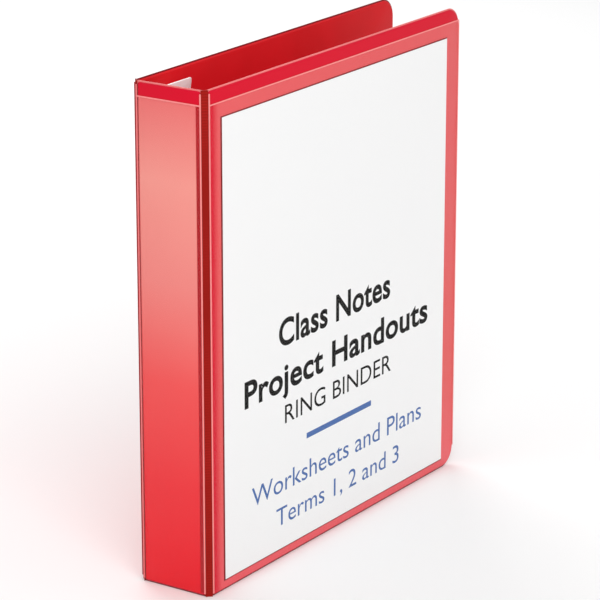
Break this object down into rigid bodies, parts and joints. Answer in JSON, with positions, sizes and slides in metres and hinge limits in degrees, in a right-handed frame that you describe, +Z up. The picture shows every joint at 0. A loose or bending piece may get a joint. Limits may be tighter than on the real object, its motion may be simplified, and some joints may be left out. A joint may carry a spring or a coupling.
{
  "type": "ring binder",
  "caption": "Hard-cover ring binder with clear outside pockets, a front cover sheet and a D-ring mechanism with opening triggers.",
  "frame": {"origin": "centre of the standing binder's base, on the floor plane", "axes": "+Z up along the spine's height, -X towards the spine, +X towards the open fore edge, -Y towards the front cover, +Y towards the back cover"},
  "size_m": [0.266, 0.0506, 0.295],
  "materials": {
    "board": "matt grey chipboard",
    "red_vinyl": "satin, finely grained red vinyl",
    "clear_film": "clear glossy film",
    "paper": "matt white paper, printed",
    "ring_chrome": "bright nickel plate",
    "plain_steel": "plain plated steel",
    "white_coat": "satin white coating on steel"
  },
  "bodies": {
    "back_cover": {"back_board": "board", "back_outer_skin": "red_vinyl", "back_liner": "red_vinyl", "back_view_pocket": "clear_film", "back_tall_pocket": "red_vinyl", "back_short_pocket": "red_vinyl", "back_hinge_strip": "red_vinyl", "ring_housing": "ring_chrome", "rivet_lower": "ring_chrome", "rivet_upper": "ring_chrome", "trigger_pin_upper": "plain_steel", "trigger_pin_lower": "plain_steel"},
    "spine": {"spine_board": "board", "spine_outer_skin": "red_vinyl", "spine_liner": "red_vinyl", "spine_view_pocket": "clear_film", "front_hinge_strip": "red_vinyl"},
    "front_cover": {"front_board": "board", "front_outer_skin": "red_vinyl", "front_liner": "red_vinyl", "front_view_pocket": "clear_film", "front_tall_pocket": "red_vinyl", "front_short_pocket": "red_vinyl"},
    "front_sheet": {"front_sheet": "paper"},
    "post_side": {"post_plate": "plain_steel", "post_ring_lower": "ring_chrome", "post_ring_middle": "ring_chrome", "post_ring_upper": "ring_chrome"},
    "curved_side": {"curved_plate": "plain_steel", "curved_ring_lower": "ring_chrome", "curved_ring_middle": "ring_chrome", "curved_ring_upper": "ring_chrome"},
    "trigger_upper": {"trigger_upper": "white_coat"},
    "trigger_lower": {"trigger_lower": "white_coat"}
  },
  "joints": [
    {"name": "back_hinge", "type": "hinge", "parent": "back_cover", "child": "spine", "pos_m": [-0.13198, 0.02423, 0], "axis": [0, 0, -1], "range_deg": [0, 180], "deforming": ["back_hinge_strip"]},
    {"name": "front_hinge", "type": "hinge", "parent": "spine", "child": "front_cover", "pos_m": [-0.13198, -0.02423, 0], "axis": [0, 0, -1], "range_deg": [0, 180], "deforming": ["front_hinge_strip"]},
    {"name": "sheet_slide", "type": "slide", "parent": "front_cover", "child": "front_sheet", "axis": [0, 0, 1], "range_m": [0, 0.285]},
    {"name": "ring_open", "type": "hinge", "parent": "back_cover", "child": "post_side", "pos_m": [-0.09239, 0.01805, 0], "axis": [0, 0, 1], "range_deg": [0, 16]},
    {"name": "curved_side_open", "type": "hinge", "parent": "back_cover", "child": "curved_side", "pos_m": [-0.11639, 0.01805, 0], "axis": [0, 0, 1], "range_deg": [-16, 0]},
    {"name": "trigger_upper_press", "type": "hinge", "parent": "back_cover", "child": "trigger_upper", "pos_m": [-0.10439, 0.01825, 0.267], "axis": [-1, 0, 0], "range_deg": [0, 18]},
    {"name": "trigger_lower_press", "type": "hinge", "parent": "back_cover", "child": "trigger_lower", "pos_m": [-0.10439, 0.01825, 0.028], "axis": [1, 0, 0], "range_deg": [0, 18]}
  ],
  "couplings": [
    {"joint": "curved_side_open", "follows": "ring_open", "ratio": -1},
    {"joint": "trigger_upper_press", "follows": "ring_open", "ratio": 1.125},
    {"joint": "trigger_lower_press", "follows": "ring_open", "ratio": 1.125}
  ]
}
